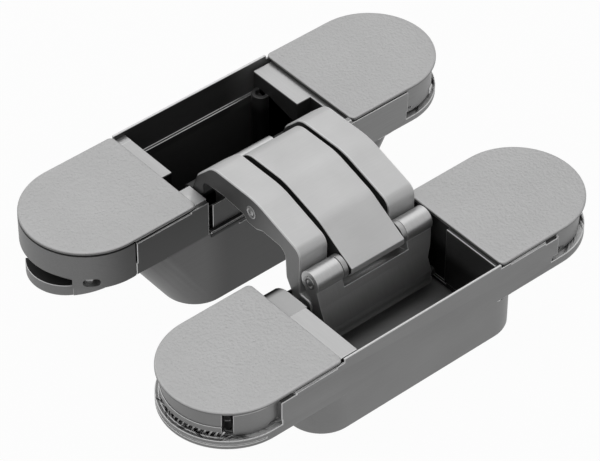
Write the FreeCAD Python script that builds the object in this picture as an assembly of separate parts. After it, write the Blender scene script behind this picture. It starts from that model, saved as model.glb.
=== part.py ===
# Concealed door hinge, fully open: a frame body and a door body let into the two edges,
# joined by crossed arms and links that fold away between them.
# X runs along both bodies, Y points from the door body to the frame body, Z out of the faces.
# The origin is the middle of the frame body's two screw holes, on the underside of its flange.
import FreeCAD, Part
import math
import os
from FreeCAD import Vector

# Both bodies: a round-ended flange that lies in the face of the door or frame
body_length = 108.4
body_width = 29.4
flange_depth = 10.0
cover_thick = 1.0
cover_edge = 21.6
post_x = 33.5
post_y = 8.0
post_r = 1.4
post_length = 4.0
body_gap = 25.3
offset = 7.0
wall = 1.3
end_wall = 1.6
lip_height = 3.2
lip_inset = 1.8
lip_long = 16.4
screw_in = 9.2
screw_hole_r = 2.6
screw_head_r = 4.6
screw_head_height = 2.6
end_floor = 4.0

# The box under each flange that holds the sliding carrier
door_box_half = 28.6
box_corner = 8.0
door_box_depth = 9.8
frame_box_half = 37.0
frame_box_depth = 20.0
frame_box_foot_half = 24.4
floor_thick = 1.3
arm_cut_deep = 9.8
arm_cut_clear = 0.3

# Carriers: the sliding blocks that the arms turn in
carrier_half = 24.2
carrier_corner = 6.5
door_carrier_low_half = 23.8
frame_carrier_low_half = 20.5
carrier_gap = 0.3
pocket_half = 17.5
door_pocket_right = 20.2
recess_half = 21.3
recess_long = 12.9
strip_drop = 1.3
carrier_floor = 1.0
floor_far = 3.2
notch_long = 5.4
column_r = 2.1
column_x, column_far = 17.0, 4.7
column_deep = 5.2
shoulder_long = 7.0
shoulder_drop = 5.0
link_pin_half = 19.5
travel_in = 0.5
travel_out = 2.0
door_carrier_shift = 0.9
frame_carrier_shift = -0.7
door_carrier_foot = 18.1
frame_carrier_foot = 27.0

# Arms, seen along X: lanes of the two outer arms and the middle arm
arms_centre = -2.0
outer_width = 7.9
middle_width = 14.8
lane_gap = 0.5
barrel_width = 7.0

# Pivots: distance in from the body's inner edge and depth below the face;
# the centre pivot stands out from the door body's inner edge
door_arm_in, door_arm_deep = 4.8, 9.65
door_link_in, door_link_deep = 9.8, 14.45
door_knuckle_in, door_knuckle_deep = 6.35, 2.0
centre_out, centre_high = 12.3, 4.7
frame_arm_in, frame_arm_deep = 3.4, 8.6
frame_link_in, frame_link_deep = 7.0, 14.9
frame_knuckle_in, frame_knuckle_deep = 7.4, 3.2

boss_r = 2.5
middle_boss_r = 2.3
spacer_r = 1.9
eye_r = 2.3
barrel_r = 2.7
pin_r = 1.3
centre_pin_r = 1.6
link_pin_r = 1.1
run_clear = 0.05
door_slot_clear = 1.9
frame_slot_clear = 2.5
head_r = 1.9
head_thick = 0.35
knuckle_head_r = 1.5
knuckle_head_thick = 0.25

face = flange_depth
rim = face - cover_thick
half = body_width / 2
end_centre = body_length / 2 - half
door_inner = -half - body_gap
door_y = door_inner - half
door_x = -offset


def at(y_in, deep, side):
    """Pivot place (Y, Z): side is +1 for the frame body and -1 for the door body."""
    inner = -half if side > 0 else door_inner
    return inner + side * y_in, face - deep


door_arm = at(door_arm_in, door_arm_deep, -1)
door_link = at(door_link_in, door_link_deep, -1)
door_knuckle = at(door_knuckle_in, door_knuckle_deep, -1)
centre = (door_inner + centre_out, face + centre_high)
frame_arm = at(frame_arm_in, frame_arm_deep, 1)
frame_link = at(frame_link_in, frame_link_deep, 1)
frame_knuckle = at(frame_knuckle_in, frame_knuckle_deep, 1)

arms_half = middle_width / 2 + lane_gap + outer_width
middle_lane = (arms_centre - middle_width / 2, arms_centre + middle_width / 2)
left_lane = (arms_centre - arms_half, arms_centre - arms_half + outer_width)
right_lane = (arms_centre + arms_half - outer_width, arms_centre + arms_half)


def box(x0, x1, y0, y1, z0, z1):
    return Part.makeBox(x1 - x0, abs(y1 - y0), z1 - z0, Vector(x0, min(y0, y1), z0))


def rod(place, r, x0, x1):
    """Round bar along X through a pivot place."""
    return Part.makeCylinder(r, x1 - x0, Vector(x0, place[0], place[1]), Vector(1, 0, 0))


def outline(points):
    """Closed wire through (point, radius) pairs, each corner rounded by its radius."""
    edges, n = [], len(points)
    ends = []
    for i, (p, r) in enumerate(points):
        a, b = points[i - 1][0], points[(i + 1) % n][0]
        u, v = (a - p).normalize(), (b - p).normalize()
        if r <= 0:
            ends.append((p, p, None))
            continue
        turn = math.acos(max(-1, min(1, u.dot(v))))
        reach = r / math.tan(turn / 2)
        middle = p + (u + v).normalize() * (r / math.sin(turn / 2) - r)
        ends.append((p + u * reach, p + v * reach, middle))
    for i, (start, stop, middle) in enumerate(ends):
        if middle is not None:
            edges.append(Part.Arc(start, middle, stop).toShape())
        following = ends[(i + 1) % n][0]
        if (following - stop).Length > 1e-6:
            edges.append(Part.LineSegment(stop, following).toShape())
    return Part.Wire(edges)


def side_plate(profile, lane, y_ref, z_ref):
    """Solid with a side profile of (y, z, radius) points, extruded across an X lane."""
    points = [(Vector(lane[0], y_ref + y, z_ref + z), r) for y, z, r in profile]
    return Part.Face(outline(points)).extrude(Vector(lane[1] - lane[0], 0, 0))


def round_end(x, y, length, width, z0, z1):
    """Flat bar with half-round ends."""
    r = width / 2
    points = [(Vector(x + sx * length / 2, y + sy * r, z0), r * 0.9999)
              for sx, sy in ((-1, -1), (1, -1), (1, 1), (-1, 1))]
    return Part.Face(outline(points)).extrude(Vector(0, 0, z1 - z0))


def fused(first, *others):
    result = first.fuse(list(others)) if others else first
    return result.removeSplitter()


def d_shape(x, y, sign, x_inner, r, z0, z1):
    """Plate with one straight edge at x_inner and a half-round end round the flange's end."""
    xc, xi = x + sign * end_centre, x + sign * x_inner
    disc = Part.makeCylinder(r, z1 - z0, Vector(xc, y, z0))
    return fused(disc, box(min(xi, xc), max(xi, xc), y - r, y + r, z0, z1))


def round_box(x, y, half_x, half_y, corner, z):
    points = [(Vector(x + sx * half_x, y + sy * half_y, z), corner)
              for sx, sy in ((-1, -1), (1, -1), (1, 1), (-1, 1))]
    return outline(points)


def cover(x, y, sign, x_inner):
    """D-shaped cover plate with a softened top edge and two snap posts underneath."""
    plate = d_shape(x, y, sign, x_inner, half - 0.1, rim, face)
    corner = [e for e in plate.Edges if abs(e.BoundBox.XLength) < 0.01 and e.BoundBox.ZLength > 0.5]
    corner = [e for e in corner if abs(e.BoundBox.Center.x - x - sign * x_inner) < 0.01]
    plate = plate.makeFillet(1.2, corner)
    top = [e for e in plate.Edges if e.BoundBox.ZMin > face - 0.01]
    plate = plate.makeFillet(0.35, top)
    foot = rim - post_length
    posts = [Part.makeCylinder(post_r, post_length, Vector(x + sign * post_x, y + sy * post_y, foot))
             for sy in (-1, 1)]
    return fused(plate, *posts)


def housing(x, y, side, box_half, box_depth, foot_half, lane, boss_lane):
    """One body: flange, carrier box, cavities, arm cut-down, end steps and holes."""
    flange = round_end(x, y, body_length, body_width, 0, rim)
    rims = box(x - cover_edge + 0.2, x + cover_edge - 0.2, y - half, y + half, rim, face)
    top = round_box(x, y, box_half, half, box_corner, 0.0)
    foot = round_box(x, y, foot_half, half, box_corner, -box_depth)
    deep = Part.makeLoft([top, foot], True, True)
    shell = fused(flange, rims, deep)

    cavity_half = carrier_half + travel_out + carrier_gap
    inner_top = round_box(x, y, box_half - wall, half - wall, box_corner - wall, 0.0)
    inner_foot = round_box(x, y, foot_half - wall, half - wall, box_corner - wall, floor_thick - box_depth)
    shell = shell.cut(Part.makeLoft([inner_top, inner_foot], True, True))
    shell = shell.cut(box(x - cavity_half, x + cavity_half, y - half + wall, y + half - wall,
                          -0.5, face + 1))

    for sign in (-1, 1):
        well = d_shape(x, y, sign, cavity_half + end_wall, half - end_wall - lip_inset, end_floor, face + 1)
        shell = shell.cut(well)
        screw_x = x + sign * (body_length / 2 - screw_in)
        hole = Part.makeCylinder(screw_hole_r, flange_depth + 2, Vector(screw_x, y, -1))
        sink = Part.makeCone(screw_hole_r, screw_head_r, screw_head_r - screw_hole_r,
                             Vector(screw_x, y, end_floor - screw_head_r + screw_hole_r))
        shell = shell.cut(fused(hole, sink))
        ring = round_end(x, y, body_length + 4, body_width + 4, lip_height, face + 2)
        core = round_end(x, y, body_length - 2 * lip_inset, body_width - 2 * lip_inset,
                         lip_height, face + 2)
        lip_ends = sorted((x + sign * (body_length / 2 - lip_long), x + sign * (body_length / 2 + 3)))
        zone = box(*lip_ends, y - body_width, y + body_width, lip_height, rim)
        shell = shell.cut(ring.cut(core).common(zone))
        for sy in (-1, 1):
            place = Vector(x + sign * post_x, y + sy * post_y, end_floor)
            boss = Part.makeCylinder(post_r + 1.2, rim - end_floor, place)
            bore = Part.makeCylinder(post_r + run_clear, rim - end_floor + 1, place + Vector(0, 0, 0.6))
            shell = fused(shell, boss).cut(bore)

    inner = y - side * half
    through = (inner - side * 1, inner + side * (wall + 0.6))
    shell = shell.cut(box(*lane, *through, face - arm_cut_deep, face + 2))
    if boss_lane:
        shell = shell.cut(box(boss_lane[0] - 0.4, boss_lane[1] + 0.4, *through,
                              face - frame_arm_deep - middle_boss_r - 0.6, face))
    return shell


def carrier(x, side, shift, foot_deep, low_half, pocket_right, arm, link, slot_clear):
    """Sliding block: two cheeks, a floor, the pin bore and the link's slot, open to the top.

    The cheeks are recessed from the inner edge, beside the arms, so that knuckles can pass.
    """
    y = 0 if side > 0 else door_y
    xc = x + shift
    v = half - wall - carrier_gap
    low, high = face - foot_deep, face - strip_drop
    block = box(xc - carrier_half, xc + carrier_half, y - v, y + v, 0.3, high)
    lower = Part.Face(round_box(xc, y, low_half, v, carrier_corner, low)).extrude(Vector(0, 0, 0.3 - low))
    block = fused(block, lower)
    pocket_floor = low + carrier_floor
    block = block.cut(box(xc - pocket_half, xc + pocket_right, y - v - 1, y + v + 1,
                          pocket_floor, high + 1))
    edge = y - side * half
    inner = y - side * (v + 1)
    recess_floor = pocket_floor if low_half > recess_half + 1 else 0.8
    block = block.cut(box(xc, xc + recess_half, inner, edge + side * recess_long, recess_floor, high + 1))
    if side > 0:
        block = block.cut(box(xc - recess_half, xc, edge + notch_long, edge + recess_long,
                              recess_floor, high + 1))
    else:
        slope = [(0, 0, 0), (shoulder_long, 0, 0), (shoulder_long, -shoulder_drop, 0),
                 (shoulder_long - 0.6, -shoulder_drop, 0), (0.8, -0.4, 6.0)]
        shoulder_lane = (xc - carrier_half - 1, xc - pocket_half + 1)
        block = block.cut(side_plate(slope, shoulder_lane, y + v - shoulder_long + 0.1, high + 0.01))
    block = block.cut(box(left_lane[0] - 0.8, right_lane[1] + 0.8, y - side * (v - 1.2),
                          y + side * (half - floor_far), low - 1, pocket_floor + 1))
    if side > 0:
        foot = Vector(xc + column_x, y + half - column_far, pocket_floor - 0.2)
        column_long = face - column_deep - foot.z
        ring = Part.makeCylinder(column_r - 0.9, 1.2, foot + Vector(0, 0, column_long - 1.2))
        block = fused(block, Part.makeCylinder(column_r, column_long, foot).cut(ring))
    bore = rod(arm, pin_r + 0.02, xc - carrier_half - 1, xc + carrier_half + 1)
    slot = rod(link, link_pin_r + slot_clear, xc - link_pin_half - 0.5, xc + link_pin_half + 0.5)
    return block.cut(fused(bore, slot))


def outer_arm(lane):
    """Bowed outer arm: leg down to the door body's pivot, far end down to the frame's link."""
    leg_y, leg_back = -3.3, 1.6
    far_y = body_gap + frame_knuckle_in
    crown = [
        (-door_arm_in - 2.0, -door_arm_deep + 1.4, 0), (leg_y, -3.4, 2.0), (leg_y, 3.8, 2.6),
        (centre_out - 0.8, centre_high + 4.0, 6.0), (24.3, centre_high + 3.8, 5.0),
        (far_y + 2.0, -2.0, 1.0), (far_y - 1.6, -4.9, 0), (far_y - 5.0, 0.8, 2.0), (21.9, 3.0, 4.0),
        (14.9, 2.3, 1.5), (13.5, centre_high - 3.7, 1.0), (10.7, centre_high - 3.8, 1.0),
        (8.7, 1.7, 1.0), (leg_back, 1.4, 2.2), (leg_back, -5.4, 3.0),
        (1.0 - door_arm_in, -door_arm_deep - 2.25, 0)]
    body = side_plate(crown, lane, door_inner, face)
    arm = fused(body, rod(door_arm, boss_r, *lane), rod(frame_knuckle, eye_r, *lane))
    holes = [rod(door_arm, pin_r + run_clear, lane[0] - 1, lane[1] + 1),
             rod(frame_knuckle, link_pin_r + run_clear, lane[0] - 1, lane[1] + 1),
             rod(centre, centre_pin_r, lane[0] - 1, lane[1] + 1)]
    return arm.cut(fused(*holes))


def middle_arm():
    """Wide middle arm: nose over the door body's knuckle, leg down to the frame body's pivot."""
    leg_in, leg_out = 24.7, 29.2
    heel_y = body_gap + frame_arm_in
    crown = [
        (-9.8, -0.7, 0.4), (0.9, 5.3, 5.0), (centre_out - 0.7, centre_high + 4.1, 6.0),
        (24.1, centre_high + 3.9, 4.5), (leg_out, 2.0, 3.0), (leg_out, -5.0, 2.0),
        (heel_y + 1.9, -frame_arm_deep + 1.2, 0), (heel_y - 1.2, -frame_arm_deep - 1.9, 0),
        (leg_in, -6.0, 2.0), (leg_in, 1.2, 2.2),
        (13.3, 1.6, 3.0), (3.9, -0.1, 4.0), (-2.7, -3.8, 1.0), (-5.4, -4.6, 0), (-8.7, -3.6, 0.4),
        (-9.8, -2.3, 0.4)]
    body = side_plate(crown, middle_lane, door_inner, face)
    arm = fused(body, rod(frame_arm, middle_boss_r, *middle_lane),
                rod(door_knuckle, barrel_r - 0.1, *middle_lane))
    lane = (middle_lane[0] - 1, middle_lane[1] + 1)
    holes = [rod(frame_arm, pin_r + run_clear, *lane), rod(door_knuckle, link_pin_r + run_clear, *lane),
             rod(centre, centre_pin_r + run_clear, *lane)]
    return arm.cut(fused(*holes))


def door_link_plate():
    """Full-width link: two knuckle barrels above, one long eye below, notched for the nose."""
    lane = (left_lane[0], right_lane[1])
    plate = [
        (-door_knuckle_in - 2.3, -3.4, 0), (-9.9, -7.0, 1.5), (-door_link_in - 2.2, -12.0, 1.0),
        (-door_link_in - 1.9, -15.0, 0), (1.9 - door_link_in, -15.4, 0), (-7.8, -12.0, 1.5),
        (-7.8, -9.4, 2.0), (-6.7, -6.8, 1.5), (2.2 - door_knuckle_in, -3.4, 0)]
    body = side_plate(plate, lane, door_inner, face)
    upper = fused(body, rod(door_link, eye_r, *lane))
    notch_lane = (left_lane[0] + barrel_width, right_lane[1] - barrel_width)
    clear = fused(box(notch_lane[0], notch_lane[1], door_inner - half, door_inner - 0.7,
                      face - door_knuckle_deep - 2.8, face + 1),
                  rod(door_knuckle, 4.3, *notch_lane))
    upper = upper.cut(clear)
    lanes = ((lane[0], notch_lane[0]), (notch_lane[1], lane[1]))
    upper = fused(upper, *[rod(door_knuckle, barrel_r, *each) for each in lanes])
    limit = right_lane[1] - 2.6
    upper = upper.cut(box(limit, lane[1] + 1, door_inner - half, door_inner - 2.7, face - 19.0, face - 9.0))
    wide = (lane[0] - 1, lane[1] + 1)
    return upper.cut(fused(rod(door_knuckle, link_pin_r, *wide), rod(door_link, link_pin_r, *wide)))


def frame_link_plate():
    """Narrow link in the middle lane, from the outer arms' far eyes down into the frame body."""
    inset = 0.2
    lane = (middle_lane[0] + inset, middle_lane[1] - inset)
    ky, kz = body_gap + frame_knuckle_in, -frame_knuckle_deep
    ly, lz = body_gap + frame_link_in, -frame_link_deep
    plate = [(ky + 1.9, kz, 0), (ky + 2.1, kz - 5.0, 2.0), (ly + 2.2, lz, 0), (ly - 0.6, lz + 1.8, 0),
             (ly - 0.6, kz - 3.0, 2.0), (ky - 1.2, kz - 1.4, 0)]
    body = side_plate(plate, lane, door_inner, face)
    link = fused(body, rod(frame_knuckle, eye_r, *lane), rod(frame_link, eye_r, *lane))
    wide = (lane[0] - 1, lane[1] + 1)
    return link.cut(fused(rod(frame_knuckle, link_pin_r, *wide), rod(frame_link, link_pin_r, *wide)))


def headed_pin(place, r, x0, x1, head, thick):
    """Riveted pin: a plain rod whose flattened heads stand just outside both ends."""
    return fused(rod(place, r, x0, x1), rod(place, head, x0 - thick, x0), rod(place, head, x1, x1 + thick))


def tube(place, r_out, r_in, x0, x1):
    return rod(place, r_out, x0, x1).cut(rod(place, r_in, x0 - 1, x1 + 1))


parts = {}
frame_lane = (left_lane[0] - travel_in - arm_cut_clear, right_lane[1] + travel_out + arm_cut_clear)
door_lane = (door_x - cover_edge + arm_cut_clear, door_x + cover_edge - arm_cut_clear)
boss_lane = (middle_lane[0] - travel_in, middle_lane[1] + travel_out)
parts["frame_housing"] = housing(0, 0, 1, frame_box_half, frame_box_depth, frame_box_foot_half,
                                 frame_lane, boss_lane)
parts["door_housing"] = housing(door_x, door_y, -1, door_box_half, door_box_depth, door_box_half,
                                door_lane, None)
for name, x, y in (("frame", 0, 0), ("door", door_x, door_y)):
    for word, sign in (("left", -1), ("right", 1)):
        parts[name + "_cover_" + word] = cover(x, y, sign, cover_edge)

parts["frame_carrier"] = carrier(0, 1, frame_carrier_shift, frame_carrier_foot, frame_carrier_low_half,
                                 pocket_half, frame_arm, frame_link, frame_slot_clear)
parts["door_carrier"] = carrier(door_x, -1, door_carrier_shift, door_carrier_foot, door_carrier_low_half,
                                door_pocket_right, door_arm, door_link, door_slot_clear)

parts["outer_arm_left"] = outer_arm(left_lane)
parts["outer_arm_right"] = outer_arm(right_lane)
parts["middle_arm"] = middle_arm()
parts["door_link"] = door_link_plate()
parts["frame_link"] = frame_link_plate()

for name, place, xc in (("door", door_arm, door_x + door_carrier_shift),
                        ("frame", frame_arm, frame_carrier_shift)):
    parts[name + "_arm_pin"] = rod(place, pin_r, xc - carrier_half, xc + carrier_half)

side_gap = 0.2
door_wall = door_x + door_carrier_shift - pocket_half
frame_walls = (frame_carrier_shift - pocket_half, frame_carrier_shift + pocket_half)
for name, place, x0, x1 in (("door_spacer_left", door_arm, door_wall, left_lane[0]),
                            ("door_spacer_middle", door_arm, left_lane[1], right_lane[0]),
                            ("frame_spacer_left", frame_arm, frame_walls[0], middle_lane[0]),
                            ("frame_spacer_right", frame_arm, middle_lane[1], frame_walls[1])):
    parts[name] = tube(place, spacer_r, pin_r + 0.02, x0 + side_gap, x1 - side_gap)

parts["centre_pin"] = headed_pin(centre, centre_pin_r, left_lane[0], right_lane[1], head_r, head_thick)
parts["door_knuckle_pin"] = headed_pin(door_knuckle, link_pin_r, left_lane[0], right_lane[1],
                                       knuckle_head_r, knuckle_head_thick)
parts["frame_knuckle_pin"] = rod(frame_knuckle, link_pin_r, left_lane[0], right_lane[1])
parts["door_link_pin"] = rod(door_link, link_pin_r, door_x + door_carrier_shift - link_pin_half,
                             door_x + door_carrier_shift + link_pin_half)
parts["frame_link_pin"] = rod(frame_link, link_pin_r, frame_carrier_shift - link_pin_half,
                              frame_carrier_shift + link_pin_half)

washer_gap = 0.1
washer_lanes = ((left_lane[0] + barrel_width + washer_gap, middle_lane[0] - washer_gap),
                (middle_lane[1] + washer_gap, right_lane[1] - barrel_width - washer_gap))
parts["knuckle_washers"] = Part.makeCompound(
    [tube(door_knuckle, barrel_r + 0.05, link_pin_r + run_clear, *lane) for lane in washer_lanes])

os.makedirs("parts", exist_ok=True)
for name, shape in parts.items():
    shape.exportStep("parts/" + name + ".step")
    print(name, shape.isValid(), len(shape.Solids), round(shape.Volume, 1),
          [round(v, 1) for v in (shape.BoundBox.XMin, shape.BoundBox.XMax, shape.BoundBox.YMin,
                                 shape.BoundBox.YMax, shape.BoundBox.ZMin, shape.BoundBox.ZMax)])
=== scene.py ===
import math

import bmesh
import bpy
import numpy as np
from mathutils import Matrix
from mathutils.bvhtree import BVHTree


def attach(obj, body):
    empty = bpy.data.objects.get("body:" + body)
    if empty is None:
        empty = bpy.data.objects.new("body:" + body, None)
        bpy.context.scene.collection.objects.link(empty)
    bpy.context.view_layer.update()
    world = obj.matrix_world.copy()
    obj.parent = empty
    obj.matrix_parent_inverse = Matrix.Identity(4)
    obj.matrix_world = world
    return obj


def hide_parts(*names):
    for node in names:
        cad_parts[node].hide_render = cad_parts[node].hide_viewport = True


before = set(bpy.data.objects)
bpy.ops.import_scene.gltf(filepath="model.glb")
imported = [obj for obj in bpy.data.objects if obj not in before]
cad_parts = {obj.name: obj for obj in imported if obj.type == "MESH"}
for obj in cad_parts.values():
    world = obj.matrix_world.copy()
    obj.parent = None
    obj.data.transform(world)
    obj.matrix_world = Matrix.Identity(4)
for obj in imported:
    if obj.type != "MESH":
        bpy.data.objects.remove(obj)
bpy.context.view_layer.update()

# Frame body casting: one zinc die casting, satin chromed. A round-ended flange carries a deep
# box with tapered ends that goes into the door frame, and its cast edges are tumbled bright.
mm = 0.001


class Flow:
    """A shader value that adds, subtracts and multiplies like a number."""

    def __init__(self, finish, socket):
        self.finish = finish
        self.socket = socket

    def maths(self, operation, *values):
        return self.finish.node("ShaderNodeMath", {"operation": operation}, values)

    def __add__(self, other):
        return self.maths("ADD", self, other)

    def __radd__(self, other):
        return self.maths("ADD", other, self)

    def __sub__(self, other):
        return self.maths("SUBTRACT", self, other)

    def __rsub__(self, other):
        return self.maths("SUBTRACT", other, self)

    def __mul__(self, other):
        return self.maths("MULTIPLY", self, other)

    def __rmul__(self, other):
        return self.maths("MULTIPLY", other, self)

    def __abs__(self):
        return self.maths("ABSOLUTE", self)

    def over(self, low, high):
        """0 below low and 1 above high; between them three times the square of the share of the way
        less twice its cube."""
        return self.finish.node("ShaderNodeMapRange", {"interpolation_type": "SMOOTHSTEP"},
                                {"Value": self, "From Min": low, "From Max": high})


class Finish:
    """A metal finish: a material with one Principled surface and the nodes that vary it."""

    def __init__(self, name, **fixed):
        self.material = bpy.data.materials.new(name)
        self.material.use_nodes = True
        self.tree = self.material.node_tree
        self.surface = self.tree.nodes["Principled BSDF"]
        self.give(**fixed)

    def give(self, **inputs):
        for name, value in inputs.items():
            self.put(self.surface.inputs[name.replace("_", " ")], value)

    def put(self, socket, value):
        if isinstance(value, Flow):
            self.tree.links.new(value.socket, socket)
        else:
            socket.default_value = value

    def node(self, kind, settings=None, inputs=(), output=0):
        """Adds one node: its settings first, then the values or links of its sockets."""
        made = self.tree.nodes.new(kind)
        for name, value in (settings or {}).items():
            setattr(made, name, value)
        pairs = inputs.items() if isinstance(inputs, dict) else enumerate(inputs)
        for key, value in pairs:
            self.put(made.inputs[key], value)
        return Flow(self, made.outputs[output])

    def place(self):
        """The point on the piece, in the row frame, in millimetres."""
        point = self.node("ShaderNodeTexCoord", output="Object")
        return self.node("ShaderNodeVectorMath", {"operation": "SCALE"}, {0: point, "Scale": 1 / mm})

    def axes(self):
        parts = self.tree.nodes.new("ShaderNodeSeparateXYZ")
        self.tree.links.new(self.place().socket, parts.inputs[0])
        return [Flow(self, out) for out in parts.outputs]

    def grain(self, stretch, detail=3.0, rough=0.55):
        """Noise from 0 to 1 whose grains are 1/stretch millimetres long along each axis."""
        spread = self.node("ShaderNodeVectorMath", {"operation": "MULTIPLY"}, [self.place(), stretch])
        return self.node("ShaderNodeTexNoise", {}, {"Vector": spread, "Scale": 1.0, "Detail": detail,
                                                    "Roughness": rough})

    def blend(self, share, low, high):
        """The colour low where share is 0, high where it is 1, and in proportion between."""
        factor, first, second, result = 0, 6, 7, 2
        return self.node("ShaderNodeMix", {"data_type": "RGBA"},
                         {factor: share, first: low, second: high}, result)

    def tint(self, tone, rough):
        """Gives the surface the grey of tone, black at 0 and white at 1, and its roughness."""
        self.give(Base_Color=self.blend(tone, grey(0.0), grey(1.0)), Roughness=rough)

    def relief(self, height, depth_mm, strength):
        bump = self.node("ShaderNodeBump", {}, {"Strength": strength, "Distance": depth_mm * mm,
                                                "Height": height})
        self.give(Normal=bump)


def grey(level):
    return (level, level, level, 1.0)


def cast_skin(coat, brushed):
    """Relief of a casting, 0.01 mm deep: 0.7 of the brush marks and 0.3 of a finer grain."""
    coat.relief(brushed * 0.7 + coat.grain((1.6, 1.6, 1.6), 3.0) * 0.3, 0.010, 0.5)


def cast_finish(name, level, metal=0.45, rough=0.40):
    """Satin chrome on a casting, brushed along the body, with broad soft clouds: level times the sum
    of 0.78, 0.18 of the brush marks and 0.26 of the clouds."""
    coat = Finish(name, Metallic=metal, IOR=1.6)
    brushed = coat.grain((0.10, 3.5, 3.5), 4.0)
    cloud = coat.grain((0.06, 0.09, 0.09), 2.0)
    coat.tint(level * (0.78 + brushed * 0.18 + cloud * 0.26), rough + brushed * 0.12)
    cast_skin(coat, brushed)
    return coat.material


def frame_side_painted_light(name):
    """The frame body's cast sides, with painted light and shade: lighter at both ends and round the deep
    box's corners, as painted highlights, and darker between the arms and the box, as painted shade."""
    coat = Finish(name, Metallic=0.4, IOR=1.6)
    x, _, z = coat.axes()
    brushed = coat.grain((0.10, 3.5, 3.5), 4.0)
    box_end = 24.0
    # Painted highlight round the deep box's rounded corners.
    corner = 1 - abs(abs(x) - box_end).over(3.0, 11.0)
    left_end_light = (0 - x).over(36.0, 50.0)
    right_end_light = x.over(8.0, 24.0)
    # Under the flange, painted shade takes away most of the right end's painted light.
    below = 1 - z.over(-0.4, 0.4)
    flange = 0.046 + left_end_light * 0.16 + right_end_light * (1 - below * 0.8) * 0.26
    level = flange + below * (0.018 + corner * 0.070)
    coat.tint(level * (0.82 + brushed * 0.36), 0.42 + brushed * 0.12)
    cast_skin(coat, brushed)
    return coat.material


def edge_finish(name, level):
    """Polished edge: brighter and smoother than the faces beside it, with small rubs."""
    edge = Finish(name, Metallic=0.85)
    rub = edge.grain((1.2, 1.2, 1.2), 3.0)
    edge.give(Base_Color=edge.blend(rub, grey(level * 0.82), grey(level)), Roughness=0.22 + rub * 0.16)
    return edge.material


def smooth(mesh):
    """Shades the faces smoothly except across edges of more than 30 degrees."""
    mesh.shade_smooth()
    mesh.set_sharp_from_angle(angle=math.radians(30))


def placed(name, mesh):
    """A piece at the origin, whose mesh already stands in the row frame."""
    piece = bpy.data.objects.new(name, mesh)
    bpy.context.scene.collection.objects.link(piece)
    return piece


def ease_edges(piece, width, turn):
    """Rounds each edge that bends by more than turn degrees; the strip gets the piece's last finish."""
    bevel = piece.modifiers.new("Eased edges", "BEVEL")
    bevel.width = width * mm
    bevel.segments = 2
    bevel.limit_method = "ANGLE"
    bevel.angle_limit = math.radians(turn)
    bevel.harden_normals = True
    bevel.material = len(piece.data.materials) - 1
    return bevel


def eased(node, width, finishes, piece_name, sort=None):
    """A casting's own solid with its loose triangles merged and its edges eased. sort picks the
    finish of each face from its centre and its normal."""
    shell = bmesh.new()
    shell.from_mesh(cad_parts[node].data)
    bmesh.ops.remove_doubles(shell, verts=shell.verts, dist=0.002 * mm)
    bmesh.ops.dissolve_limit(shell, angle_limit=math.radians(0.4), verts=shell.verts, edges=shell.edges)
    mesh = bpy.data.meshes.new(piece_name)
    shell.to_mesh(mesh)
    shell.free()
    mesh.materials.clear()
    for finish in finishes:
        mesh.materials.append(finish)
    count = len(mesh.polygons)
    index = np.zeros(count, np.int32)
    if sort is not None:
        middle, facing = np.zeros(count * 3), np.zeros(count * 3)
        mesh.polygons.foreach_get("center", middle)
        mesh.polygons.foreach_get("normal", facing)
        index = sort(middle.reshape(-1, 3) / mm, facing.reshape(-1, 3)).astype(np.int32)
    mesh.polygons.foreach_set("material_index", index)
    smooth(mesh)
    piece = placed(piece_name, mesh)
    ease_edges(piece, width, 32).use_clamp_overlap = False
    return piece


def body_faces(centre_x, centre_y):
    """Sorts a body's faces: 0 outside, 1 up-facing ledges, which get painted light, 2 whatever faces the
    cavity, which gets painted shade.
    """
    half_length, half_width, ledge_z = 37.5, 13.9, 8.95

    def sort(middle, facing):
        away = middle[:, :2] - np.array([centre_x, centre_y])
        inward = (away * facing[:, :2]).sum(1) < -0.5
        within = (abs(away[:, 0]) < half_length) & (abs(away[:, 1]) < half_width)
        up = facing[:, 2] > 0.7
        cavity = within & (inward | up) & (middle[:, 2] < ledge_z)
        return np.where(cavity, 2, np.where(up, 1, 0))
    return sort


def fit(piece, body, slot, *nodes):
    """Hangs a finished piece on its body, in the place of the solids it stands for."""
    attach(piece, body)
    if nodes:
        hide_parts(*nodes)


def skinned(name, points, faces, finishes):
    """A mesh through points in millimetres, with its finishes in order."""
    mesh = bpy.data.meshes.new(name)
    mesh.from_pydata((points.reshape(-1, 3) * mm).tolist(), [], faces)
    for finish in finishes:
        mesh.materials.append(finish)
    return mesh


def ringed_mesh(name, rings, finishes, finish_of_ring=None):
    """Skin over a stack of closed rings (stack, around, 3), in millimetres, with flat ends.
    finish_of_ring numbers the finish of each band; without it, and at the ends, the first is used."""
    stack, around = rings.shape[:2]
    i, j = np.meshgrid(np.arange(stack - 1), np.arange(around), indexing="ij")
    k = (j + 1) % around
    quads = np.stack([i * around + j, i * around + k, (i + 1) * around + k, (i + 1) * around + j], -1)
    faces = quads.reshape(-1, 4).tolist()
    faces.append(list(range(around - 1, -1, -1)))
    faces.append(list(range((stack - 1) * around, stack * around)))
    mesh = skinned(name, rings, faces, finishes)
    index = np.zeros(len(mesh.polygons), np.int32)
    if finish_of_ring is not None:
        index[:(stack - 1) * around] = np.repeat(finish_of_ring, around)
    mesh.polygons.foreach_set("material_index", index)
    shell = bmesh.new()
    shell.from_mesh(mesh)
    bmesh.ops.recalc_face_normals(shell, faces=shell.faces)
    shell.to_mesh(mesh)
    shell.free()
    mesh.shade_smooth()
    piece = placed(name, mesh)
    piece.modifiers.new("Even faces", "WEIGHTED_NORMAL").weight = 60
    return piece


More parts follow.
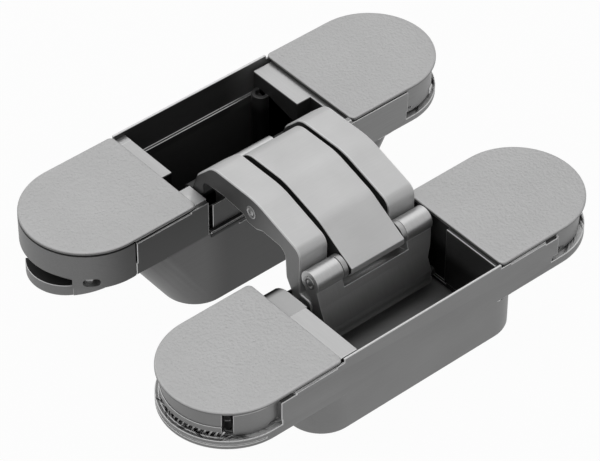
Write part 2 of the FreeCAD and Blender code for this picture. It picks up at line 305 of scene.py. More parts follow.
def swept_sector(name, centre, start, stop, r_in, r_out, low, high, finishes, ease=0.0):
    """Rectangle from r_in to r_out and low to high, carried round centre from one angle to the other;
    a pair in place of a number runs evenly from its first value to its second."""
    steps = max(3, int(abs(stop - start) / 2.5) + 1)
    turn = np.radians(np.linspace(start, stop, steps))[:, None]
    inner, outer, foot, head = [np.linspace(*(v if isinstance(v, tuple) else (v, v)), steps)
                                for v in (r_in, r_out, low, high)]
    r = np.stack([inner, outer, outer, inner], 1)
    z = np.stack([foot, foot, head, head], 1)
    rings = np.stack([centre[0] + r * np.cos(turn), centre[1] + r * np.sin(turn), z], -1)
    piece = ringed_mesh(name, rings, finishes)
    if ease:
        piece.modifiers.clear()
        ease_edges(piece, ease, 40)
    return piece


def rod(name, start, stop, radius, finishes):
    """Round rod: its rings are the end points plus radius * (cos a * side + sin a * rise)."""
    ends = np.array([start, stop], float)
    along = (ends[1] - ends[0]) / np.linalg.norm(ends[1] - ends[0])
    side = np.cross(along, [0.0, 0.0, 1.0] if abs(along[2]) < 0.9 else [1.0, 0.0, 0.0])
    side /= np.linalg.norm(side)
    rise = np.cross(side, along)
    around = 40
    a = np.linspace(0, 2 * np.pi, around, endpoint=False)[:, None]
    circle = radius * (np.cos(a) * side + np.sin(a) * rise)
    return ringed_mesh(name, ends[:, None] + circle[None], finishes)


def radial(centre, angle, r, z):
    """The point at height z whose plan is centre plus r times the cosine and the sine of angle."""
    turn = math.radians(angle)
    return (centre[0] + r * math.cos(turn), centre[1] + r * math.sin(turn), z)


def block(name, low, high, finishes, ease=0.0):
    """Upright box between two corners."""
    x, y, z = zip(low, high)
    around = [(x[0], y[0]), (x[1], y[0]), (x[1], y[1]), (x[0], y[1])]
    piece = ringed_mesh(name, np.array([[(*point, height) for point in around] for height in z]), finishes)
    piece.modifiers.clear()
    if ease:
        ease_edges(piece, ease, 30)
    return piece


def sector_cuts(*cuts):
    """One cutting tool for each list of swept_sector values."""
    return [swept_sector("cut", centre, *values, []) for centre, *values in cuts]


def block_cuts(*cuts):
    """One cutting tool for each pair of corners."""
    return [block("cut", low, high, []) for low, high in cuts]


def as_mesh(piece):
    """A new mesh of the piece with its visible modifiers applied."""
    bpy.context.view_layer.update()
    graph = bpy.context.evaluated_depsgraph_get()
    mesh = bpy.data.meshes.new_from_object(piece.evaluated_get(graph))
    mesh.name = piece.name
    return mesh


def milled(piece, tools, finish):
    """Takes each tool out of the piece; the cut faces get one of the piece's own finishes."""
    kept = list(piece.data.materials)
    for number, tool in enumerate(tools):
        tool.modifiers.clear()
        index = np.full(len(tool.data.polygons), kept.index(finish), np.int32)
        tool.data.polygons.foreach_set("material_index", index)
        take = piece.modifiers.new("Cut", "BOOLEAN")
        take.operation = "DIFFERENCE"
        take.solver = "EXACT"
        take.object = tool
        piece.modifiers.move(len(piece.modifiers) - 1, number)
    for m in piece.modifiers:
        m.show_viewport = m.show_render = m.type == "BOOLEAN"
    mesh = as_mesh(piece)
    for m in [m for m in piece.modifiers if m.type == "BOOLEAN"]:
        piece.modifiers.remove(m)
    for m in piece.modifiers:
        m.show_viewport = m.show_render = True
    mesh.materials.clear()
    for material in kept:
        mesh.materials.append(material)
    smooth(mesh)
    piece.data = mesh
    for tool in tools:
        bpy.data.objects.remove(tool)


def settled(piece):
    """Applies the eased edges, then lays each point that they threw more than slack off the casting
    back on the nearest point of its surface."""
    slack = 0.07 * mm
    before = piece.data
    skin = BVHTree.FromPolygons([v.co for v in before.vertices], [p.vertices[:] for p in before.polygons])
    piece.data = as_mesh(piece)
    piece.modifiers.clear()
    for point in piece.data.vertices:
        nearest, _, _, distance = skin.find_nearest(point.co)
        if distance > slack:
            point.co = nearest


def paint(piece, finish, low, high):
    """Gives one of the piece's finishes to the faces that look up and have their centres between
    two corners."""
    index = list(piece.data.materials).index(finish)
    for polygon in piece.data.polygons:
        at = polygon.center / mm
        if polygon.normal.z > 0.7 and all(low[i] < at[i] < high[i] for i in range(3)):
            polygon.material_index = index


bright_edge = edge_finish("polished_edge", 0.62)
# A near-white finish for flange rims, rebates and the strip plate: painted highlight.
rim_painted_highlight = cast_finish("rim_painted_highlight", 0.90, 0.10, 0.4)
# Up-facing ledges, treads and the latch get a much lighter grey than the sides: painted light.
ledge_painted_light = cast_finish("ledge_painted_light", 0.80, 0.15)
# Near-black for cavities, cut recesses, gaps and undersides: painted shade.
shade_black = cast_finish("deep_hollow_painted_shade", 0.010, 0.1, 0.6)
frame_chrome_painted_light = frame_side_painted_light("frame_cast_chrome_painted_light")

# The round ends have their centres end_x from the body's middle. A sector round one of them is
# given by its first and last angle in degrees, its two radii and its bottom and top.
end_x = 39.5
frame_left, frame_right = (-end_x, 0.0), (end_x, 0.0)
frame_casting = eased("frame_housing", 0.16, [frame_chrome_painted_light, ledge_painted_light, shade_black, rim_painted_highlight, bright_edge],
                      "frame_casting", body_faces(0.0, 0.0))
# The wells' cut faces are painted shade.
wells = sector_cuts((frame_left, 118, 275.5, 12.3, 17, -1, 8.95),
                    (frame_right, 262, 422, 12.9, 17, 1.5, 3.4),
                    (frame_right, 264, 420, 12.3, 13.2, 1.55, 2.3))
milled(frame_casting, wells + block_cuts(((-23.0, 13.2, 2.0), (23.0, 14.15, 10.2))), shade_black)
# Near the left end, a rebate under the flange's top edge and the cut wall by the strip plate are painted
# highlight; the gap above the rebate, under the cover's rim, is painted shadow.
milled(frame_casting, block_cuts(((-39.0, -16.0, 8.55), (-23.3, -14.45, 8.82)),
                                 ((-23.4, -16.0, 9.0), (-18.0, -13.0, 10.4))), rim_painted_highlight)
milled(frame_casting, block_cuts(((-39.0, -16.0, 8.82), (-23.3, -14.1, 9.3))), shade_black)
# The far rim's top is painted highlight.
paint(frame_casting, rim_painted_highlight, (-24, 13, 9.5), (24, 16, 10.5))
settled(frame_casting)
fit(frame_casting, "frame_body", "housing", "frame_housing")

# The left wall stands over a catch plate and has an oblong eye with a screw behind it.
eye_angles, eye_z = (231.5, 238.5), 1.6
for name, centre, values in (
        ("frame_left_wall", frame_left, (118, 275.2, 12.4, 14.62, -0.1, 8.9)),
        ("frame_left_step", frame_left, (219, 246, 12.4, (14.3, 14.62), (-2.4, -0.2), -0.05)),
        ("frame_left_catch", (-45.35, 0.0), (140, 249, 3.0, 8.8, -3.8, -1.0)),
        ("frame_right_wall", frame_right, (262.5, 422, 12.7, 13.8, 2.2, 8.9))):
    part = swept_sector(name, centre, *values, [frame_chrome_painted_light, shade_black, bright_edge], 0.16)
    if name == "frame_left_catch":
        # The catch plate's up-facing faces below the flange are painted shade.
        paint(part, shade_black, (-60, -20, -2), (0, 20, 0))
    if name == "frame_left_wall":
        slot = sector_cuts((frame_left, 117, 219, 11.0, 16.0, -1.0, 2.65),
                           (frame_left, *eye_angles, 11.0, 16.0, eye_z - 1.0, eye_z + 1.0))
        ends = [rod("cut", radial(frame_left, angle, 11.0, eye_z), radial(frame_left, angle, 16.0, eye_z),
                    1.0, []) for angle in eye_angles]
        milled(part, slot + ends, shade_black)
    fit(part, "frame_body", "housing")

screw_tip = rod("frame_left_screw_tip", radial(frame_left, 232.5, 11.6, 1.4),
                radial(frame_left, 232.5, 13.6, 1.4), 0.9, [bright_edge])
fit(screw_tip, "frame_body", "housing")
# The latch takes the ledges' painted light.
latch = swept_sector("frame_right_latch", frame_right, 300, 309, 12.6, 14.1, 2.1, 3.5,
                     [ledge_painted_light, bright_edge], 0.2)
fit(latch, "frame_body", "housing")

# The apron is a dark grey sheet on the pocket's front wall and the slot under the front ledge is near-black:
# painted shade.
apron_painted_shade = cast_finish("apron_painted_shade", 0.055)
for name, low, high, finishes, ease in (
        ("frame_front_apron", (-17.2, -14.3, 0.8), (14.0, -13.9, 7.2), [apron_painted_shade, bright_edge], 0.12),
        ("frame_front_ledge", (-18.2, -14.95, 0.0), (14.2, -13.9, 0.6), [frame_chrome_painted_light, bright_edge], 0.1),
        # The strip plate is painted highlight, so it stays light where the arm's shadow falls.
        ("frame_strip_plate", (-23.5, -13.42, 8.72), (-18.3, -7.9, 9.0), [rim_painted_highlight], 0.0),
        ("frame_front_slot", (-18.2, -14.95, -0.95), (14.2, -14.2, 0.0), [shade_black], 0.0)):
    fit(block(name, low, high, finishes, ease), "frame_body", "housing")

# Door body casting: the same satin chromed zinc, with the same flange and a shallow box with
# upright ends, because a door's edge leaves less depth than a frame does.
door_x, door_y = -7.0, -54.7
door_left, door_right = (door_x - end_x, door_y), (door_x + end_x, door_y)
# The door casting's sides get a dark grey against its light ledges, and its cut recesses a near-black:
# painted shade.
door_chrome_painted_shade = cast_finish("door_cast_chrome_painted_shade", 0.25)
door_hollow_painted_shade = cast_finish("door_hollow_painted_shade", 0.03, 0.5, 0.3)
door_casting = eased("door_housing", 0.16,
                     [door_chrome_painted_shade, ledge_painted_light, door_hollow_painted_shade, shade_black, rim_painted_highlight, bright_edge],
                     "door_casting", body_faces(door_x, door_y))
milled(door_casting, sector_cuts((door_left, 118, 277.5, 12.9, 17, 2.25, 3.4),
                                 (door_right, 257, 422, 12.9, 17, 2.1, 3.4)), door_hollow_painted_shade)
# The notches and rims are cut with painted shade on their cut faces.
notches = sector_cuts((door_left, 225.8, 234.6, 9, 17, 2.3, 8.95),
                      (door_left, 256, 291, 13.2, 17, 8.2, 9.2),
                      (door_right, 250, 261, 13.4, 17, 8.1, 9.2),
                      (door_left, 118, 262, 14.4, 17, 0.95, 1.2))
rims = block_cuts(((-31.0, -68.9, 2.5), (18.0, -67.9, 10.2)), ((-29.2, -41.5, 2.6), (-23.0, -39.0, 10.2)))
milled(door_casting, notches + rims, shade_black)
# Beside the covers' rims the door flange gets the same painted highlight line with a painted shadow line
# above it.
for low_z, high_z, inner_y, finish in ((8.55, 8.82, -69.15, rim_painted_highlight), (8.82, 9.3, -68.8, shade_black)):
    milled(door_casting, block_cuts(((-46.0, -71.0, low_z), (-30.3, inner_y, high_z)),
                                    ((17.3, -71.0, low_z), (32.0, inner_y, high_z))), finish)
# The front rim's top is painted highlight.
paint(door_casting, rim_painted_highlight, (-31, -70, 9.5), (18, -68, 10.5))
settled(door_casting)
fit(door_casting, "door_body", "housing", "door_housing")

# The door body's ends: a toothed rack with its groove under the left cover, and walls that stand
# back from the flange behind narrow treads.
for name, centre, values in (
        ("door_left_rack", door_left, (118, 225.6, 12.6, 13.6, 3.75, 8.9)),
        ("door_left_rack_foot", door_left, (118, 225.6, 12.6, 13.8, 3.75, 5.2)),
        ("door_left_ledge", door_left, (118, 229.0, 13.66, 14.05, 2.2, 2.5)),
        ("door_left_wall", door_left, (235, 277.4, 12.6, 13.5, 2.2, 8.15)),
        ("door_left_tread", door_left, (226, 277.4, 13.0, 14.6, 2.0, 2.28)),
        ("door_right_wall", door_right, (257.5, 422, 12.6, 13.5, 2.0, 8.9)),
        ("door_right_tread", door_right, (259, 420, 13.0, 14.6, 1.9, 2.12))):
    # Treads and ledges take the ledges' painted light.
    skin = ledge_painted_light if name.endswith(("tread", "ledge")) else door_chrome_painted_shade
    part = swept_sector(name, centre, *values, [skin, bright_edge], 0.12)
    fit(part, "door_body", "housing")


def rack_teeth(name, centre, start, stop, count, r_in, r_out, low, high, lean, finishes):
    """Blocks spaced evenly round centre; each takes 0.32 of its share of the turn and leans by lean
    degrees from its foot to its head."""
    share = (stop - start) / count
    corner = np.array([[r, a, z] for z in (0, 1) for r, a in ((0, 0), (1, 0), (1, 1), (0, 1))], float)
    r = np.broadcast_to(r_in + (r_out - r_in) * corner[:, 0], (count, 8))
    first = start + share * np.arange(count)[:, None]
    angle = np.radians(first + share * 0.32 * corner[:, 1] + lean * corner[:, 2])
    z = np.broadcast_to(low + (high - low) * corner[:, 2], (count, 8))
    points = np.stack([centre[0] + r * np.cos(angle), centre[1] + r * np.sin(angle), z], -1)
    sides = np.array([[3, 2, 1, 0], [4, 5, 6, 7], [0, 1, 5, 4], [1, 2, 6, 5], [2, 3, 7, 6], [3, 0, 4, 7]])
    faces = (sides[None] + 8 * np.arange(count)[:, None, None]).reshape(-1, 4)
    return placed(name, skinned(name, points, faces.tolist(), finishes))


teeth = rack_teeth("door_left_teeth", door_left, 120, 229, 21, 12.4, 13.6, 2.4, 3.85, 3.0, [bright_edge])
fit(teeth, "door_body", "housing")
# The groove's back and floor are near-black: painted shade.
for name, values in (("back", (118, 228.5, 12.1, 12.5, 2.4, 3.8)),
                     ("floor", (118, 229.0, 12.1, 13.64, 2.2, 2.4))):
    groove = swept_sector("door_left_groove_" + name, door_left, *values, [shade_black])
    fit(groove, "door_body", "housing")

# Frame carrier: the cast block that slides in the frame body to set the height. Its two top
# strips show beside the arms, brushed bright, and its pocket is painted black as shade.
def strip_finish(name, strip_z, level, shade_level):
    """Bright brushed top strips over a pocket of painted shade, whose right cheek has painted light five
    times as light.
    """
    metal = Finish(name, Metallic=0.7)
    x, _, z = metal.axes()
    brushed = metal.grain((3.0, 0.12, 3.0), 4.0)
    top = z.over(strip_z - 0.5, strip_z - 0.15)
    cheek_light = x.over(13.0, 13.8) * z.over(0.0, 4.0)
    worn = metal.blend(brushed, grey(level * 0.85), grey(level))
    pocket_shade = metal.blend(cheek_light, grey(shade_level), grey(shade_level * 5))
    metal.give(Base_Color=metal.blend(top, pocket_shade, worn), Roughness=0.44 - top * 0.12)
    metal.relief(brushed, 0.008, 0.4)
    return metal.material


strip_metal = strip_finish("carrier_strips", 8.7, 0.44, 0.016)
frame_block = eased("frame_carrier", 0.14, [strip_metal], "frame_sliding_block")
fit(frame_block, "frame_carrier", "carrier", "frame_carrier")
strip_tail = block("frame_strip_tail", (-22.6, 12.0, 8.1), (-18.2, 14.2, 8.72),
                   [strip_metal, bright_edge], 0.1)
fit(strip_tail, "frame_carrier", "carrier")

# Door carrier: the same sliding block for the door body, shallower, with its left strip
# rounded down at the end by the frame.
door_block = eased("door_carrier", 0.14, [strip_metal, bright_edge], "door_sliding_block")
fit(door_block, "door_carrier", "carrier", "door_carrier")

# Arm pins and spacers: turned steel rods through the carriers' cheeks, with plain sleeves
# that keep the arms in their lanes.
def turned_finish(name, level, rough):
    """Lathe-turned metal with fine rings round its axis along X."""
    metal = Finish(name, Metallic=0.9)
    rings = metal.grain((9.0, 0.6, 0.6), 3.0)
    metal.give(Base_Color=metal.blend(rings, grey(level * 0.8), grey(level)), Roughness=rough + rings * 0.14)
    metal.relief(rings, 0.006, 0.5)
    return metal.material


# The pins and spacers lie deep in the pockets and get a near-black steel: painted shade.
turned_steel_painted_shade = turned_finish("turned_steel_painted_shade", 0.06, 0.40)


def dress(material, *nodes):
    """Gives solids that stay as they are a finish."""
    for node in nodes:
        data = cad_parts[node].data
        data.materials.clear()
        data.materials.append(material)


dress(turned_steel_painted_shade, "door_arm_pin", "frame_arm_pin", "door_spacer_left", "door_spacer_middle",
      "frame_spacer_left", "frame_spacer_right", "door_link_pin", "frame_link_pin", "frame_knuckle_pin")

# Outer arms: two bowed bars blanked from thick steel and satin brushed across. Each has a leg
# that drops into the door body and a far end that reaches over the frame body's wall.
def rounded(corners, steps=9):
    """Outline through (y, z, radius) corners, each replaced by the arc of so many steps that touches
    both its sides: the hub lies on the corner's middle line, radius over the sine of half the
    corner's angle away."""
    data = np.array(corners, float)
    at, radius = data[:, :2], data[:, 2:3]
    before = np.roll(at, 1, 0) - at
    after = np.roll(at, -1, 0) - at
    before /= np.linalg.norm(before, axis=1, keepdims=True)
    after /= np.linalg.norm(after, axis=1, keepdims=True)
    half_angle = np.arccos(np.clip((before * after).sum(1), -1, 1))[:, None] / 2
    middle = before + after
    middle /= np.linalg.norm(middle, axis=1, keepdims=True)
    hub = at + middle * radius / np.sin(half_angle)
    first = at + before * radius / np.tan(half_angle) - hub
    last = at + after * radius / np.tan(half_angle) - hub
    sweep = (np.pi - 2 * half_angle)[:, :, None]
    t = np.linspace(0, 1, steps)[None, :, None]
    arc = (first[:, None] * np.sin((1 - t) * sweep) + last[:, None] * np.sin(t * sweep)) / np.sin(sweep)
    return (hub[:, None] + arc).reshape(-1, 2)


def outward(outline):
    """Unit normals of a closed outline that runs anticlockwise, from the chord across each point."""
    chord = np.roll(outline, -1, 0) - np.roll(outline, 1, 0)
    normal = np.stack([chord[:, 1], -chord[:, 0]], 1)
    return normal / np.maximum(np.linalg.norm(normal, axis=1, keepdims=True), 1e-12)


def bar(name, corners, lane, edge, finishes, ends):
    """Side outline in (y, z) carried along X from lane[0] to lane[1]. Near both ends it shrinks by
    edge times one less the sine of a quarter turn, which rounds the edges. ends are the finishes of
    the two end faces."""
    outline = rounded(corners)
    area = (outline[:, 0] * np.roll(outline[:, 1], -1) - outline[:, 1] * np.roll(outline[:, 0], -1)).sum()
    outline = outline if area > 0 else outline[::-1]
    normal = outward(outline)
    steps = 5
    turn = np.linspace(0, np.pi / 2, steps)
    inset = edge * (1 - np.sin(turn))
    run = edge * (1 - np.cos(turn))
    inset = np.concatenate([inset, inset[::-1]])
    run = np.concatenate([lane[0] + run, lane[1] - run[::-1]])
    ring = outline[None] - normal[None] * inset[:, None, None]
    x = np.broadcast_to(run[:, None, None], ring.shape[:2] + (1,))
    rings = np.concatenate([x, ring], -1)
    rounding = [1] * (steps - 1)
    piece = ringed_mesh(name, rings, finishes, rounding + [0] + rounding)
    for polygon, finish in zip(list(piece.data.polygons)[-2:], ends):
        polygon.material_index = finishes.index(finish)
    return piece


def brushed_arm_finish(name, level):
    """Bright satin arm: fine brushing across the bar, slightly darker in patches, and painted shade where
    its far end dips into the frame body."""
    satin = Finish(name, Metallic=0.5)
    _, y, z = satin.axes()
    brushed = satin.grain((0.25, 5.0, 5.0), 4.0)
    patch = satin.grain((0.10, 0.12, 0.12), 2.0)
    # Painted shade: nearly black where the arm dips below the frame body's face.
    pocket_shade = (1 - z.over(12.6, 13.6)) * y.over(-18.0, -14.0)
    tone = level * (0.84 + brushed * 0.12 + patch * 0.18) * (1 - pocket_shade * 0.96)
    satin.tint(tone, 0.42 + brushed * 0.12)
    satin.relief(brushed, 0.006, 0.45)
    return satin.material


def blank_finish(name):
    """The blanked side of an arm: duller than the crown, with painted shade darkest towards the frame body.
    """
    dull = Finish(name, Metallic=0.35)
    _, y, _ = dull.axes()
    brushed = dull.grain((5.0, 0.35, 0.35), 4.0)
    frame_side_shade = y.over(-43.0, -18.0)
    tone = (0.24 - frame_side_shade * 0.15) * (0.84 + brushed * 0.3)
    dull.tint(tone, 0.42 + brushed * 0.12)
    dull.relief(brushed, 0.008, 0.4)
    return dull.material


arm_satin = brushed_arm_finish("arm_satin", 0.58)
arm_edge = brushed_arm_finish("arm_edge", 0.68)
arm_side = blank_finish("arm_side")
# Near-black for arm ends that face a neighbouring arm: painted shade.
gap_painted_shade = Finish("gap_painted_shade", Base_Color=grey(0.008), Roughness=0.7).material
arm_finishes = [arm_satin, arm_edge, arm_side, gap_painted_shade]
face_z = 10.0


def on_door(corners):
    """Corners measured from the door body's centre line and face, moved into the row frame."""
    return [(door_y + y, face_z + z, r) for y, z, r in corners]


outer_outline = on_door([
    (11.4, -3.9, 2.0), (11.3, 3.9, 2.8), (25.7, 8.6, 16.0), (39.8, 8.5, 4.5), (44.8, 3.4, 5.0),
    (46.6, -1.7, 0.4), (49.3, -2.0, 1.5), (49.3, -5.2, 1.6), (45.4, -5.2, 1.6), (44.6, -2.6, 0.8),
    (42.3, -0.6, 1.2), (42.7, 2.35, 1.2), (36.6, 3.0, 4.0), (29.6, 2.3, 1.5), (28.2, 1.0, 1.0),
    (25.4, 0.9, 1.0), (23.4, 1.7, 1.0), (16.3, 1.4, 2.2), (15.9, -5.6, 3.0), (12.2, -11.7, 2.2),
    (9.4, -12.4, 1.5), (7.3, -9.9, 2.0), (8.2, -7.5, 1.2), (11.4, -7.3, 0.5)])
left_x, right_x = -17.8, 13.8
for side, lane, ends in (("left", (left_x, -10.35), (arm_side, gap_painted_shade)),
                         ("right", (6.35, right_x), (gap_painted_shade, arm_side))):
    arm = bar("bowed_arm_" + side, outer_outline, lane, 0.35, arm_finishes, ends)
    fit(arm, "outer", "arm", "outer_arm_" + side)

# Middle arm: a wide bowed bar of the same steel. Its nose covers the knuckle at the door body
# and its leg drops into the frame body.
middle_outline = on_door([
    (4.95, -0.9, 0.35), (15.6, 5.3, 12.0), (26.8, 8.75, 14.0), (38.8, 8.6, 4.5), (43.9, 1.6, 3.0),
    (43.9, -5.0, 2.0), (45.8, -9.0, 2.1), (42.2, -11.0, 2.1), (39.4, -6.0, 2.0), (39.4, 1.2, 2.2),
    (28.0, 1.6, 3.0), (18.6, -0.1, 4.0), (12.0, -3.8, 1.0), (9.3, -4.6, 1.0), (6.0, -3.6, 0.4),
    (4.95, -2.3, 0.3)])
wide_arm = bar("bowed_arm_middle", middle_outline, (-9.25, 5.25), 0.25, arm_finishes,
               (gap_painted_shade, gap_painted_shade))
fit(wide_arm, "middle", "arm", "middle_arm")

# Strip shoulder: the door carrier's left strip ends in a rolled shoulder beside the arm's leg. It
# is cast in one with the carrier, satin without brush marks, and painted shade darkens it where it rolls
# down.
shoulder_painted_shade = Finish("shoulder_painted_shade", Metallic=0.2, Specular_IOR_Level=0.1)
roll_shade = shoulder_painted_shade.axes()[1].over(-45.4, -43.3)
shoulder_painted_shade.tint(0.62 - roll_shade * 0.608, 0.6)
shoulder_painted_shade = shoulder_painted_shade.material
shoulder = bar("door_strip_shoulder",
               [(-52.0, 8.74, 0.2), (-40.6, 8.74, 5.8), (-40.6, 2.0, 0.3), (-52.0, 2.0, 0.3)],
               (-30.0, -23.2), 0.3, [shoulder_painted_shade, bright_edge], (shoulder_painted_shade, shoulder_painted_shade))
fit(shoulder, "door_carrier", "carrier")

# Centre pin: a turned steel pin through all three arms where they cross, riveted over at both
# ends into low crowned heads.
def turned(name, profile, hub, finishes):
    """Profile of (x, radius) points spun about an axis along X through hub (y, z): y and z are the
    hub's plus the radius times the cosine and the sine."""
    around = 72
    points = np.array(profile, float)
    angle = np.linspace(0, 2 * np.pi, around, endpoint=False)
    x = np.broadcast_to(points[:, :1], (len(points), around))
    y = hub[0] + points[:, 1:] * np.cos(angle)
    z = hub[1] + points[:, 1:] * np.sin(angle)
    return ringed_mesh(name, np.stack([x, y, z], -1), finishes)


def riveted(x0, x1, r, head, thick, ring):
    """Left half of a riveted pin's profile and its mirror: a crowned head with one turned groove."""
    left = [(x0 - thick + 0.03, 0.10), (x0 - thick, ring * 0.55), (x0 - thick + 0.10, ring * 0.75),
            (x0 - thick + 0.10, ring * 0.9), (x0 - thick, ring * 1.05), (x0 - thick + 0.06, head - 0.12),
            (x0 - thick * 0.6, head), (x0, head), (x0, r)]
    middle = (x0 + x1) / 2
    return left + [(2 * middle - x, radius) for x, radius in reversed(left)]


rivet_metal = turned_finish("rivet_steel", 0.40, 0.30)
crossing = (door_y + 27.0, face_z + 4.7)
rivet = turned("arm_rivet", riveted(left_x, right_x, 1.1, 1.5, 0.2, 0.95), crossing, [rivet_metal])
fit(rivet, "outer", "pin", "centre_pin")

# Door link: a plate the width of the arms, cast with two round knuckle barrels on top and an
# eye below, with turned washers beside the nose and a ringed pin through the barrels.
def link_finish(name, level):
    """Satin casting, brushed round the barrels, with painted shade low down in the pocket."""
    metal = Finish(name, Metallic=0.75)
    _, _, z = metal.axes()
    brushed = metal.grain((4.0, 0.3, 0.3), 4.0)
    # Painted shade: darker lower down in the pocket.
    deep = 1 - z.over(-4.0, 5.5)
    tone = level * (0.82 + brushed * 0.2) * (1 - deep * 0.55)
    metal.tint(tone, 0.30 + brushed * 0.12)
    metal.relief(brushed, 0.006, 0.4)
    return metal.material


link_metal = link_finish("link_satin", 0.56)
link_plate = eased("door_link", 0.12, [link_metal, arm_edge], "knuckle_link")
# Under the barrels the plate's right edge slants in by slant_in, to narrow_x at its foot.
narrow_x, slant_in, foot_z, slant_height = 11.2, 2.6, 1.0, 4.0
corners = np.zeros(len(link_plate.data.vertices) * 3)
link_plate.data.vertices.foreach_get("co", corners)
corners = corners.reshape(-1, 3) / mm
limit = narrow_x + slant_in * np.clip((corners[:, 2] - foot_z) / slant_height, 0, 1)
corners[:, 0] = np.minimum(corners[:, 0], limit)
link_plate.data.vertices.foreach_set("co", (corners * mm).ravel())
fit(link_plate, "door_link", "link", "door_link")
dress(link_metal, "frame_link")

knuckle = (door_y + 8.35, face_z - 2.0)
knuckle_pin = turned("knuckle_rivet", riveted(left_x, right_x, 1.1, 1.5, 0.24, 0.95), knuckle, [rivet_metal])
fit(knuckle_pin, "door_link", "pin", "door_knuckle_pin")

washer_metal = turned_finish("washer_steel", 0.42, 0.40)
washers = eased("knuckle_washers", 0.10, [washer_metal], "bright_washers")
fit(washers, "door_link", "pin", "knuckle_washers")

# Covers: four pressed zinc plates, round at one end, snapped over the screw wells. Their faces
# have a fine pebbled grain under satin chrome, and they are left bare.
def pebbled_finish(name, level):
    """Fine pebbles about half a millimetre across over a satin base."""
    coat = Finish(name, Metallic=0.35)
    spread = coat.node("ShaderNodeVectorMath", {"operation": "MULTIPLY"}, [coat.place(), (1.5, 1.5, 1.5)])
    pebble = coat.node("ShaderNodeTexVoronoi", {"feature": "SMOOTH_F1"}, {"Vector": spread, "Scale": 1.0,
                                                                          "Smoothness": 0.7})
    wrinkle = coat.grain((1.7, 1.7, 1.7), 4.0, 0.62)
    cloud = coat.grain((0.07, 0.07, 0.07), 2.0)
    coat.tint(level * (0.88 + wrinkle * 0.12 + cloud * 0.12), 0.38 + wrinkle * 0.14)
    coat.relief(wrinkle * 0.7 + pebble * 0.5, 0.20, 0.9)
    return coat.material


def cover_plate(name, centre, way, finishes):
    """D outline carried up through the thickness: bottom, side, a quarter-circle top edge, then rings
    that shrink to the middle of the face. The finishes are the face's, the top edge's, the
    underside's and the side's."""
    inner_x, half_width, edge = 21.6, 14.6, 0.35
    bend = np.linspace(-np.pi / 2, np.pi / 2, 61)
    round_end = np.stack([end_x + half_width * np.cos(bend), half_width * np.sin(bend)], 1)
    steps = 9
    square = rounded([(inner_x, half_width, 1.2), (inner_x, -half_width, 1.2), (end_x, -half_width, 0.01),
                      (end_x, half_width, 0.01)], steps)[:2 * steps]
    outline = np.concatenate([round_end, square])
    if way < 0:
        outline = np.stack([-outline[:, 0], outline[:, 1]], 1)[::-1]
    normal = outward(outline)
    turn = np.linspace(0, np.pi / 2, 5)
    inset = np.concatenate([[1.6, 0.55, 0.55, 0.06, 0.0], edge * (1 - np.cos(turn))])
    height = np.concatenate([[9.02, 9.02, 9.30, 9.34, 9.42], face_z - edge + edge * np.sin(turn)])
    rim = outline[None] - normal[None] * inset[:, None, None]
    hub = np.array([way * 36.0, 0.0])
    share = np.array([0.97, 0.8, 0.6, 0.4, 0.2, 0.02])
    top = hub + (rim[-1:] - hub) * share[:, None, None]
    flat = np.concatenate([rim, top])
    z = np.concatenate([height, np.full(len(share), face_z)])
    z = np.broadcast_to(z[:, None, None], flat.shape[:2] + (1,))
    rings = np.concatenate([flat + np.array(centre), z], -1)
    return ringed_mesh(name, rings, finishes, [2] * 3 + [3] * 3 + [1] * 3 + [0] * len(share))


pebbled = pebbled_finish("pebbled_chrome", 0.52)
cover_edge = cast_finish("cover_edge", 0.50)
# The covers' sides get a darker grey than their faces, and their undersides are near-black: painted shade.
cover_side_painted_shade = cast_finish("cover_side_painted_shade", 0.20)
for body, centre in (("frame", (0.0, 0.0)), ("door", (door_x, door_y))):
    for side, way in (("left", -1), ("right", 1)):
        plate = cover_plate(body + "_cap_" + side, centre, way, [pebbled, cover_edge, shade_black, cover_side_painted_shade])
        fit(plate, body + "_body", "cover", body + "_cover_" + side)

# Stage: a plain white floor under the deep box, in a pale room, with one broad soft lamp above
# and two weaker ones at the front and the right.
def straight_rays(nodes):
    """1 for light that reaches the eye straight, by a mirror or through glass, and 0 for the rest."""
    seen, shiny, through = [nodes.node("ShaderNodeLightPath", output="Is %s Ray" % kind)
                            for kind in ("Camera", "Glossy", "Transmission")]
    return seen + shiny + through


# In metres: the floor lies 0.1 mm under the deep box and reaches 3 m to each side.
floor_z, reach = -0.0201, 3
floor_mesh = bpy.data.meshes.new("floor")
floor_mesh.from_pydata([(-reach, -reach, floor_z), (reach, -reach, floor_z), (reach, reach, floor_z),
                        (-reach, reach, floor_z)], [], [(0, 1, 2, 3)])
floor = placed("floor", floor_mesh)
pale = Finish("floor_white", Roughness=0.9, Base_Color=grey(0.45))
glow = pale.node("ShaderNodeEmission", {}, {"Color": grey(1.0), "Strength": 1.0})
mixed = pale.node("ShaderNodeMixShader", {}, {0: straight_rays(pale) * 0.97,
                                              1: Flow(pale, pale.surface.outputs[0]), 2: glow})
pale.put(pale.tree.nodes["Material Output"].inputs["Surface"], mixed)
floor_mesh.materials.append(pale.material)


class Room(Finish):
    """The air round the stage, whose nodes are written like those of a finish."""

    def __init__(self, world):
        world.use_nodes = True
        self.tree = world.node_tree


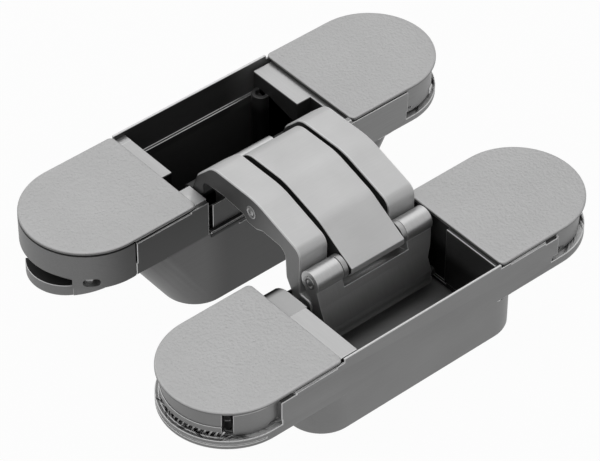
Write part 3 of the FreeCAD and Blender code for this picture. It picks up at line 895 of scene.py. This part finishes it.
world = bpy.data.worlds.new("studio")
bpy.context.scene.world = world
room = Room(world)
dim = room.tree.nodes["Background"]
room.put(dim.inputs["Color"], grey(1.0))
room.put(dim.inputs["Strength"], 0.25)
backdrop = room.node("ShaderNodeBackground", {}, {"Strength": 1.0})
mixed = room.node("ShaderNodeMixShader", {}, {0: straight_rays(room), 1: Flow(room, dim.outputs[0]),
                                              2: backdrop})
room.put(room.tree.nodes["World Output"].inputs["Surface"], mixed)

# Each lamp points at the middle between the two bodies.
middle_y = -0.027
for name, spot, size, power in (("overhead", (0.10, 0.25, 0.75), 1.2, 3.0),
                                ("front_fill", (-0.7, -0.5, 0.4), 0.5, 0.35),
                                ("right_fill", (0.8, -0.3, 0.5), 0.5, 0.25)):
    lamp = bpy.data.lights.new(name, "AREA")
    lamp.shape = "DISK"
    lamp.size = size
    lamp.energy = power
    holder = bpy.data.objects.new(name, lamp)
    holder.location = spot
    aim = -holder.location
    aim.y += middle_y
    holder.rotation_mode = "QUATERNION"
    holder.rotation_quaternion = aim.to_track_quat("-Z", "Y")
    bpy.context.scene.collection.objects.link(holder)

# Camera: a long lens from the front left, looking down on both bodies from above their left ends,
# with both pockets and the crossing of the arms in view.
lens = bpy.data.cameras.new("view")
lens.sensor_width = 36.0
lens.lens = 191.88
lens.clip_start = 0.05
camera = bpy.data.objects.new("view", lens)
azimuth, elevation, roll = math.radians(-40.66), math.radians(42.08), math.radians(0.27)
away = np.array([math.sin(azimuth) * math.cos(elevation), -math.cos(azimuth) * math.cos(elevation),
                 math.sin(elevation)])
right = np.array([math.cos(azimuth), math.sin(azimuth), 0.0])
above = np.cross(away, right)
tilted = right * math.cos(roll) + above * math.sin(roll)
upright = above * math.cos(roll) - right * math.sin(roll)
stand = np.eye(4)
stand[:3, 0], stand[:3, 1], stand[:3, 2] = tilted, upright, away
stand[:3, 3] = np.array([-331.43, -408.37, 454.96]) * mm
camera.matrix_world = Matrix(stand.tolist())
bpy.context.scene.collection.objects.link(camera)
bpy.context.scene.camera = camera
bpy.context.scene.view_settings.view_transform = "Standard"
